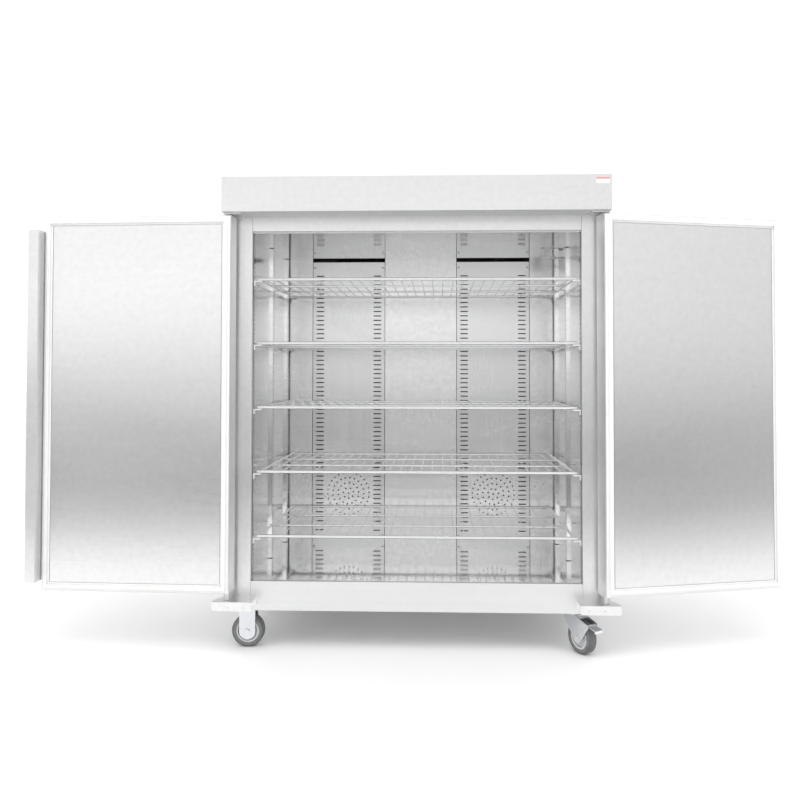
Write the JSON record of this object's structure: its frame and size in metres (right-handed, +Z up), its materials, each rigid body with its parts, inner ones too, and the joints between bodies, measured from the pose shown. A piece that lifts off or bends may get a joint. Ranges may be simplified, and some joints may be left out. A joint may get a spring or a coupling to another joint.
{
  "type": "proofing cabinet",
  "caption": "Tall two-door heated proofing cabinet on casters, with full-width wire shelves and ducted fan air behind slotted rear covers.",
  "frame": {"origin": "on the floor, under the middle of the body (doors not counted)", "axes": "+Z up, +X to the right as seen from the front, the front of the cabinet faces -Y"},
  "size_m": [2.3015, 0.8321, 1.45],
  "materials": {
    "brushed_steel": "brushed",
    "bright_steel": "fine brushed, semi-bright",
    "foam": "matte",
    "grey_plastic": "matte",
    "fan_metal": "satin black",
    "fan_plastic": "matte",
    "heater_steel": "heat-dulled",
    "white_plastic": "satin",
    "fastener_steel": "satin",
    "zinc_steel": "bright zinc",
    "shelf_wire": "bright plated",
    "gasket": "matte",
    "polished_steel": "polished",
    "hub_plastic": "satin",
    "tyre": "matte"
  },
  "bodies": {
    "cabinet": {"side_panel_left": "brushed_steel", "side_panel_right": "brushed_steel", "back_panel": "brushed_steel", "roof_panel": "brushed_steel", "base_frame": "brushed_steel", "shell_insulation": "foam", "liner_left": "bright_steel", "liner_right": "bright_steel", "liner_back": "bright_steel", "liner_ceiling": "bright_steel", "liner_floor": "bright_steel", "stile_left": "brushed_steel", "stile_right": "brushed_steel", "top_rail": "brushed_steel", "sill": "brushed_steel", "header_front": "brushed_steel", "header_cover": "brushed_steel", "control_box": "grey_plastic", "rear_panels": "bright_steel", "duct_cover_left": "bright_steel", "duct_cover_right": "bright_steel", "fan_frames": "fan_metal", "heaters": "heater_steel", "pilasters": "bright_steel", "shelf_clips": "white_plastic", "air_probe": "white_plastic", "hinge_brackets": "brushed_steel", "hinge_fasteners": "fastener_steel", "rigid_forks": "zinc_steel", "swivel_plates": "zinc_steel"},
    "door_left": {"door_left_skin": "brushed_steel", "door_left_liner": "brushed_steel", "door_left_foam": "foam", "door_left_gasket": "gasket", "door_left_handle": "polished_steel", "astragal": "brushed_steel"},
    "door_right": {"door_right_skin": "brushed_steel", "door_right_liner": "brushed_steel", "door_right_foam": "foam", "door_right_gasket": "gasket", "door_right_handle": "polished_steel"},
    "fan_left": {"fan_rotor_left": "fan_plastic"},
    "fan_right": {"fan_rotor_right": "fan_plastic"},
    "shelf_1": {"wire_shelf_1": "shelf_wire"},
    "shelf_2": {"wire_shelf_2": "shelf_wire"},
    "shelf_3": {"wire_shelf_3": "shelf_wire"},
    "shelf_4": {"wire_shelf_4": "shelf_wire"},
    "shelf_5": {"wire_shelf_5": "shelf_wire"},
    "wheel_rigid_front": {"hub_rigid_front": "hub_plastic", "tyre_rigid_front": "tyre"},
    "swivel_front": {"swivel_fork_front": "zinc_steel"},
    "wheel_swivel_front": {"hub_swivel_front": "hub_plastic", "tyre_swivel_front": "tyre"},
    "brake_pedal_front": {"brake_pedal_front": "zinc_steel"},
    "wheel_rigid_rear": {"hub_rigid_rear": "hub_plastic", "tyre_rigid_rear": "tyre"},
    "swivel_rear": {"swivel_fork_rear": "zinc_steel"},
    "wheel_swivel_rear": {"hub_swivel_rear": "hub_plastic", "tyre_swivel_rear": "tyre"},
    "brake_pedal_rear": {"brake_pedal_rear": "zinc_steel"}
  },
  "joints": [
    {"name": "door_left_hinge", "type": "hinge", "parent": "cabinet", "child": "door_left", "pos_m": [-0.57, -0.412, 0.7], "axis": [0, 0, -1], "range_deg": [-182, 33]},
    {"name": "door_right_hinge", "type": "hinge", "parent": "cabinet", "child": "door_right", "pos_m": [0.57, -0.412, 0.7], "axis": [0, 0, 1], "range_deg": [-193, 22]},
    {"name": "shelf_1_slide", "type": "slide", "parent": "cabinet", "child": "shelf_1", "axis": [0, -1, 0], "range_m": [0, 0.5]},
    {"name": "shelf_2_slide", "type": "slide", "parent": "cabinet", "child": "shelf_2", "axis": [0, -1, 0], "range_m": [0, 0.5]},
    {"name": "shelf_3_slide", "type": "slide", "parent": "cabinet", "child": "shelf_3", "axis": [0, -1, 0], "range_m": [0, 0.5]},
    {"name": "shelf_4_slide", "type": "slide", "parent": "cabinet", "child": "shelf_4", "axis": [0, -1, 0], "range_m": [0, 0.5]},
    {"name": "shelf_5_slide", "type": "slide", "parent": "cabinet", "child": "shelf_5", "axis": [0, -1, 0], "range_m": [0, 0.5]},
    {"name": "fan_left_spin", "type": "hinge", "parent": "cabinet", "child": "fan_left", "pos_m": [-0.2785, 0.2565, 0.393], "axis": [0, 1, 0], "continuous": true},
    {"name": "fan_right_spin", "type": "hinge", "parent": "cabinet", "child": "fan_right", "pos_m": [0.2785, 0.2565, 0.393], "axis": [0, 1, 0], "continuous": true},
    {"name": "wheel_rigid_front_spin", "type": "hinge", "parent": "cabinet", "child": "wheel_rigid_front", "pos_m": [-0.527, -0.318, 0.05], "axis": [0, 1, 0], "continuous": true},
    {"name": "wheel_rigid_rear_spin", "type": "hinge", "parent": "cabinet", "child": "wheel_rigid_rear", "pos_m": [-0.527, 0.318, 0.05], "axis": [0, 1, 0], "continuous": true},
    {"name": "swivel_front_turn", "type": "hinge", "parent": "cabinet", "child": "swivel_front", "pos_m": [0.492, -0.318, 0.112], "axis": [0, 0, 1], "continuous": true},
    {"name": "wheel_swivel_front_spin", "type": "hinge", "parent": "swivel_front", "child": "wheel_swivel_front", "pos_m": [0.51055, -0.34768, 0.05], "axis": [0.848, 0.5299, 0], "continuous": true},
    {"name": "brake_pedal_front_press", "type": "hinge", "parent": "swivel_front", "child": "brake_pedal_front", "pos_m": [0.53121, -0.38076, 0.092], "axis": [0.848, 0.5299, 0], "range_deg": [0, 14]},
    {"name": "swivel_rear_turn", "type": "hinge", "parent": "cabinet", "child": "swivel_rear", "pos_m": [0.492, 0.318, 0.112], "axis": [0, 0, 1], "continuous": true},
    {"name": "wheel_swivel_rear_spin", "type": "hinge", "parent": "swivel_rear", "child": "wheel_swivel_rear", "pos_m": [0.52397, 0.30376, 0.05], "axis": [0.4067, 0.9135, 0], "continuous": true},
    {"name": "brake_pedal_rear_press", "type": "hinge", "parent": "swivel_rear", "child": "brake_pedal_rear", "pos_m": [0.5596, 0.2879, 0.092], "axis": [0.4067, 0.9135, 0], "range_deg": [0, 14]}
  ]
}
